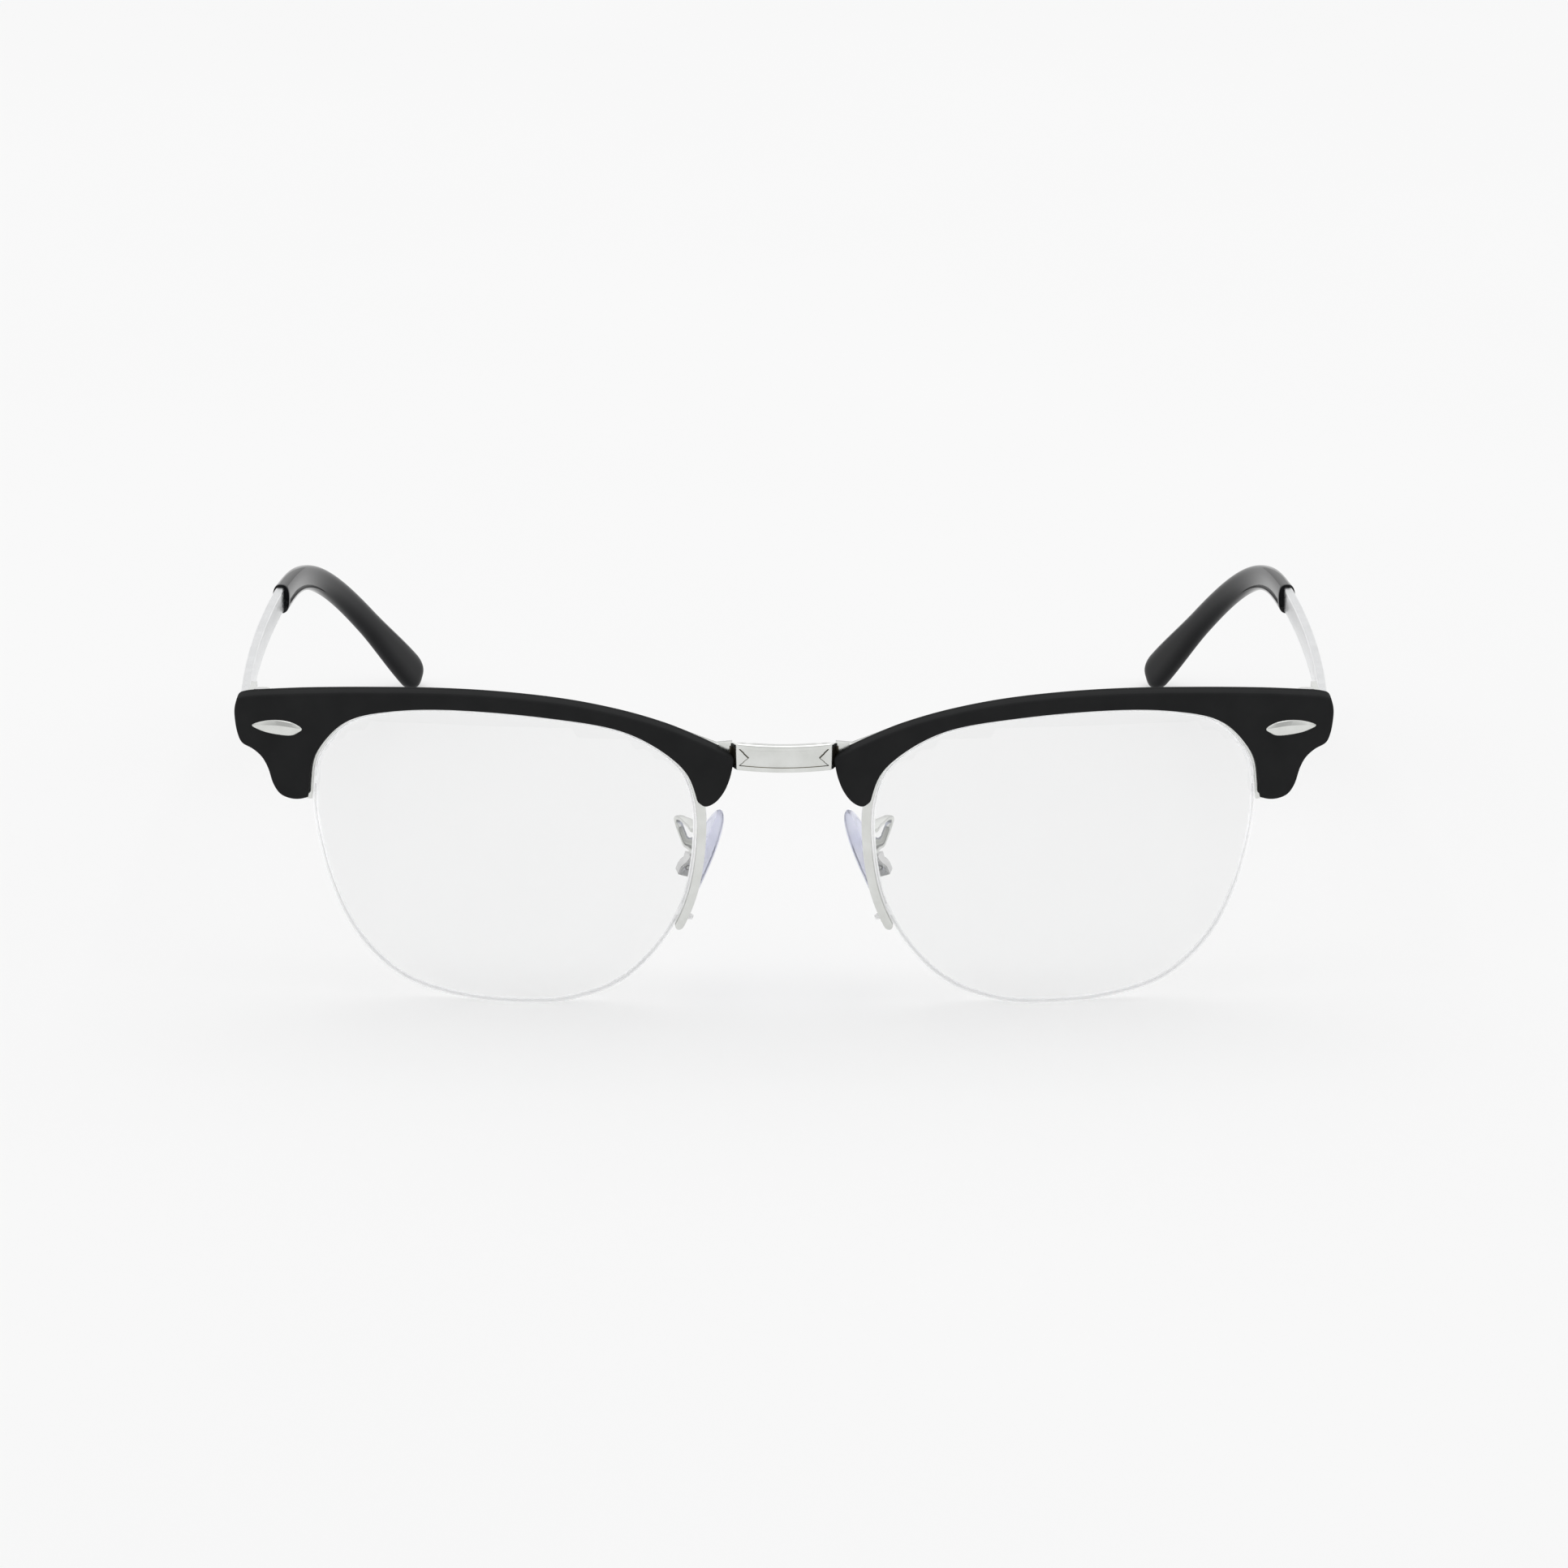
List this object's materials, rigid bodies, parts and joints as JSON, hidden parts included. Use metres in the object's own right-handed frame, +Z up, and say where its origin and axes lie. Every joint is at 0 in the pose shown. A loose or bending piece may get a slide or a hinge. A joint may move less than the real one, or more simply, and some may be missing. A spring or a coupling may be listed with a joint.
{
  "type": "half rim eyeglasses",
  "caption": "Half rim eyeglasses with black brow bars, a silver front, nylon-held clear lenses, rocking nose pads and folding metal temples with black tips.",
  "frame": {"origin": "on the table under the middle of the open pair's bounding box", "axes": "+X to the wearer's left, -Y out of the front, +Z up"},
  "size_m": [0.1452, 0.1398, 0.0425],
  "materials": {
    "black_acetate": "tumbled matte black acetate",
    "silver_metal": "polished silver-coloured nickel alloy",
    "screw_steel": "bright turned steel",
    "clear_lens": "clear polished demo lens",
    "nylon": "clear drawn nylon",
    "clear_silicone": "clear moulded silicone with a faint blue tint",
    "black_tip": "glossy moulded black plastic"
  },
  "bodies": {
    "front": {"bridge": "silver_metal", "rim_left": "silver_metal", "rim_right": "silver_metal", "rim_liner_left": "nylon", "rim_liner_right": "nylon", "lens_left": "clear_lens", "lens_right": "clear_lens", "nylon_cord_left": "nylon", "nylon_cord_right": "nylon", "brow_left": "black_acetate", "brow_right": "black_acetate", "brow_rivet_left": "silver_metal", "brow_rivet_right": "silver_metal", "brow_screw_left": "screw_steel", "brow_screw_right": "screw_steel", "endpiece_left": "silver_metal", "endpiece_right": "silver_metal", "hinge_front_left": "silver_metal", "hinge_front_right": "silver_metal", "hinge_screw_left": "screw_steel", "hinge_screw_right": "screw_steel", "pad_arm_left": "silver_metal", "pad_arm_right": "silver_metal", "pad_box_left": "silver_metal", "pad_box_right": "silver_metal", "pad_screw_left": "screw_steel", "pad_screw_right": "screw_steel"},
    "temple_left_arm": {"temple_left": "silver_metal", "hinge_leaf_left": "silver_metal", "temple_tip_left": "black_tip"},
    "pad_left": {"nose_pad_left": "clear_silicone", "pad_insert_left": "silver_metal"},
    "temple_right_arm": {"temple_right": "silver_metal", "hinge_leaf_right": "silver_metal", "temple_tip_right": "black_tip"},
    "pad_right": {"nose_pad_right": "clear_silicone", "pad_insert_right": "silver_metal"}
  },
  "joints": [
    {"name": "temple_fold_left", "type": "hinge", "parent": "front", "child": "temple_left_arm", "pos_m": [0.06795, -0.05496, 0.0366], "axis": [0, 0, 1], "range_deg": [0, 86]},
    {"name": "temple_fold_right", "type": "hinge", "parent": "front", "child": "temple_right_arm", "pos_m": [-0.06795, -0.05496, 0.0366], "axis": [0, 0, -1], "range_deg": [0, 82]},
    {"name": "pad_rock_left", "type": "hinge", "parent": "front", "child": "pad_left", "pos_m": [0.01291, -0.06123, 0.01738], "axis": [0.1736, 0.9848, 0], "range_deg": [-8, 8]},
    {"name": "pad_rock_right", "type": "hinge", "parent": "front", "child": "pad_right", "pos_m": [-0.01291, -0.06123, 0.01738], "axis": [-0.1736, 0.9848, 0], "range_deg": [-8, 8]}
  ]
}
